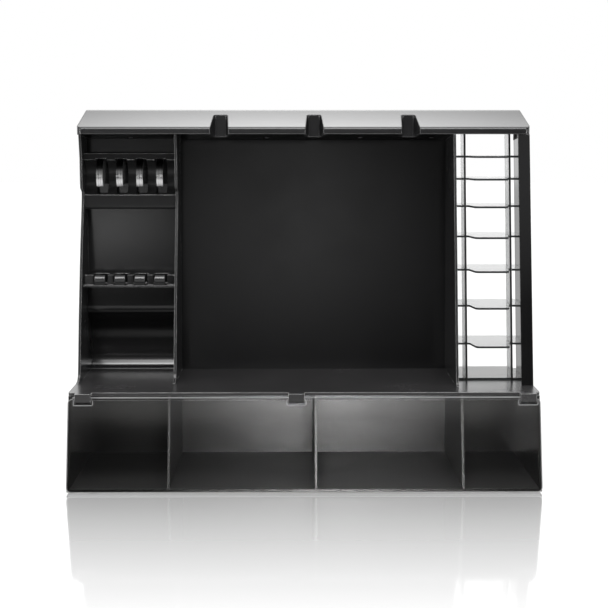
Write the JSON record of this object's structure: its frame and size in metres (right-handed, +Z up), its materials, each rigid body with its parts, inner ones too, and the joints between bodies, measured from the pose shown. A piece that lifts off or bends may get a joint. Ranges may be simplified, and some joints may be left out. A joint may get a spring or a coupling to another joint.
{
  "type": "clipper organizer",
  "caption": "Black counter stand for barber tools: hooded bay with cord notches, tool rack column, clear shelf rack for comb guards, and a divided bin behind a smoked flap door.",
  "frame": {"origin": "on the counter, under the middle of the bounding box", "axes": "+X to the right as seen from the front, +Y to the back, +Z up"},
  "size_m": [0.4486, 0.186, 0.36],
  "materials": {
    "black_plastic": "satin moulded black",
    "clear_acrylic": "clear polished acrylic",
    "smoked_acrylic": "smoked polished acrylic",
    "screw_steel": "zinc plated",
    "clip_steel": "brushed spring steel",
    "foot_rubber": "matt"
  },
  "bodies": {
    "stand": {"base_bin": "black_plastic", "divider_left": "black_plastic", "divider_middle": "black_plastic", "divider_right": "black_plastic", "deck": "black_plastic", "back_panel": "black_plastic", "left_side_panel": "black_plastic", "left_partition": "black_plastic", "tool_wall": "black_plastic", "upper_tool_rack": "black_plastic", "lower_tool_rail": "black_plastic", "rail_pegs": "black_plastic", "right_partition": "black_plastic", "right_side_wall": "black_plastic", "hood_shell": "black_plastic", "hood_underside": "black_plastic", "rack_fin_left": "clear_acrylic", "rack_fin_right": "clear_acrylic", "guard_floor": "clear_acrylic", "guard_shelf_1": "clear_acrylic", "guard_shelf_2": "clear_acrylic", "guard_shelf_3": "clear_acrylic", "guard_shelf_4": "clear_acrylic", "guard_shelf_5": "clear_acrylic", "guard_shelf_6": "clear_acrylic", "guard_shelf_7": "clear_acrylic", "clip_fingers": "clip_steel", "hood_screws": "screw_steel", "back_screws": "screw_steel", "rubber_feet": "foot_rubber"},
    "door": {"front_door": "smoked_acrylic"}
  },
  "joints": [
    {"name": "door_flip", "type": "hinge", "parent": "stand", "child": "door", "pos_m": [0, -0.06945, 0.0868], "axis": [-1, 0, 0], "range_deg": [0, 95]}
  ]
}
